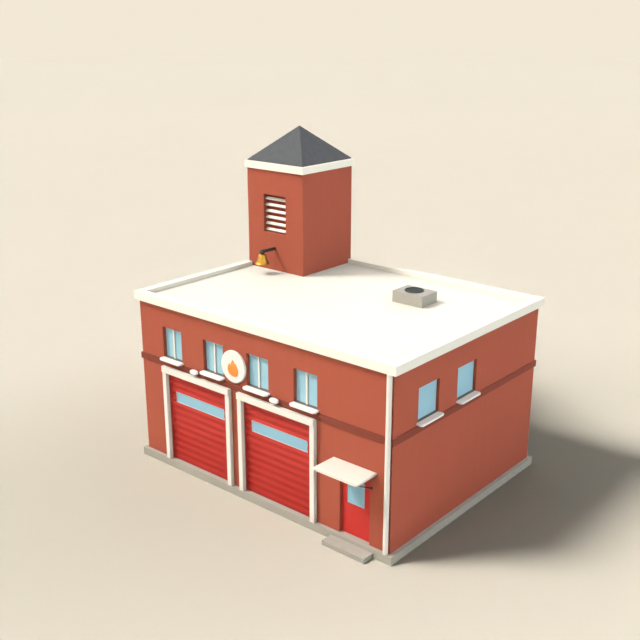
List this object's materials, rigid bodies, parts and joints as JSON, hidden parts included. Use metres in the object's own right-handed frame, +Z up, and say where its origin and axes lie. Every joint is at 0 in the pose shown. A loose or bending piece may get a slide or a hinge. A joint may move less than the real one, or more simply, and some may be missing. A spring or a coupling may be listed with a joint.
{
  "type": "fire station building",
  "caption": "Two-storey flat-roofed fire station with vehicle bays, a hinged entrance door under a canopy and a hose tower carrying a swinging bell.",
  "frame": {"origin": "centre of the walls' plan, on the underside of the plinth (the ground)", "axes": "+Z up; -Y out of the front with the bay doors; +X to the right along the front as seen from outside"},
  "size_m": [12.48, 10.3, 12.487],
  "materials": {
    "masonry_red": "smooth painted masonry",
    "band_brown": "matt",
    "cornice_white": "smooth render",
    "concrete": "fine cast concrete",
    "trim_white": "satin white",
    "door_red": "satin red",
    "glazing": "pale blue tinted",
    "lamp_white": "opal",
    "sign_white": "satin white",
    "flame_orange": "satin orange",
    "iron_black": "painted near black",
    "floor_screed": "plain",
    "roof_grey": "matt dark grey",
    "bell_metal": "satin gold",
    "unit_beige": "satin beige",
    "fan_dark": "matt dark grey"
  },
  "bodies": {
    "building": {"foundation_slab": "concrete", "door_step": "concrete", "front_wall_piers": "masonry_red", "front_wall_door_head": "masonry_red", "front_wall_band": "masonry_red", "front_wall_upper": "masonry_red", "right_wall": "masonry_red", "left_wall": "masonry_red", "back_wall": "masonry_red", "first_floor_slab": "floor_screed", "roof_slab": "cornice_white", "roof_cornice": "cornice_white", "string_course": "band_brown", "window_glass": "glazing", "window_sills": "trim_white", "window_mullions": "trim_white", "bay_posts": "trim_white", "bay_lintels": "trim_white", "bay_door_panels": "door_red", "bay_door_stiles": "door_red", "bay_door_glass": "glazing", "bay_lamps": "lamp_white", "sign_disc": "sign_white", "sign_emblem": "flame_orange", "door_frame": "door_red", "door_hinge_brackets": "door_red", "canopy_slab": "trim_white", "canopy_struts": "iron_black", "downpipe": "trim_white", "tower_front_piers": "masonry_red", "tower_front_panels": "masonry_red", "tower_side_walls": "masonry_red", "tower_back_wall": "masonry_red", "tower_louvre": "trim_white", "tower_cornice": "cornice_white", "tower_roof": "roof_grey", "bell_arm": "iron_black", "rooftop_unit": "unit_beige", "rooftop_unit_fan": "fan_dark"},
    "entrance_door_leaf": {"entrance_door": "door_red", "entrance_door_glass": "glazing", "entrance_door_hinges": "door_red", "entrance_door_handle": "door_red"},
    "swinging_bell": {"bell": "bell_metal", "bell_headstock": "iron_black", "bell_clapper": "iron_black"}
  },
  "joints": [
    {"name": "entrance_door_hinge", "type": "hinge", "parent": "building", "child": "entrance_door_leaf", "pos_m": [3.92, -4.418, 1.45], "axis": [0, 0, -1], "range_deg": [0, 90]},
    {"name": "bell_swing", "type": "hinge", "parent": "building", "child": "swinging_bell", "pos_m": [-4.51, 0.68, 7.61], "axis": [0, 1, 0], "range_deg": [-25, 25]}
  ]
}
